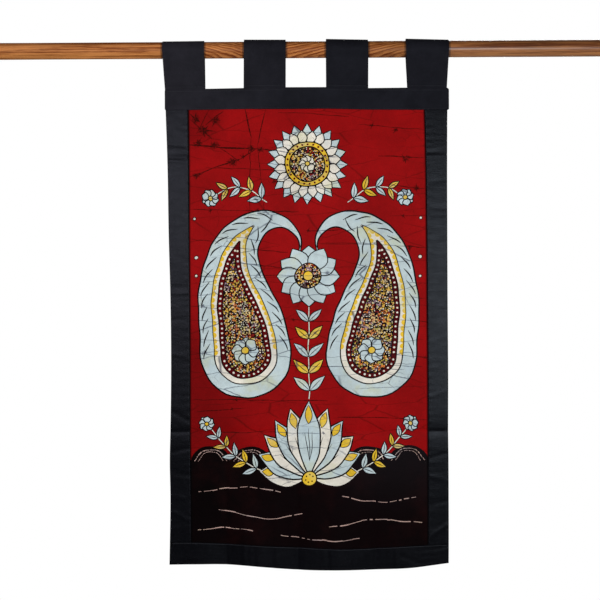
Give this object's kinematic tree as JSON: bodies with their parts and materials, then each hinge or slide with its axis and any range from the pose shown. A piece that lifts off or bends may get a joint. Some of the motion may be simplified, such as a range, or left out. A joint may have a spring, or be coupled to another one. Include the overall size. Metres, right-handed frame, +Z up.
{
  "type": "batik wall hanging on a wooden pole",
  "caption": "Long dyed cotton panel framed by black cotton strips, hung by looped fabric tabs from a round wooden pole.",
  "frame": {"origin": "on the pole's axis, halfway along the pole and above the middle of the cloth", "axes": "+X along the pole, to the right seen from the front; +Y from the front of the cloth to its back; +Z up"},
  "size_m": [1.37, 0.0384, 1.1202],
  "materials": {
    "batik_cotton": "plain woven cotton, wax-resist dyed in deep red, brown-black, pale blue-white and ochre, with crackle veins",
    "black_cotton": "plain woven black cotton, matte, doubled and top-stitched",
    "stained_wood": "orange-brown stained oak with dark grain under a thin satin lacquer"
  },
  "bodies": {
    "root": {"batik_panel": "batik_cotton", "border_left": "black_cotton", "border_right": "black_cotton", "border_bottom": "black_cotton", "heading_band": "black_cotton", "tab_1": "black_cotton", "tab_2": "black_cotton", "tab_3": "black_cotton", "tab_4": "black_cotton", "pole": "stained_wood"}
  },
  "joints": []
}
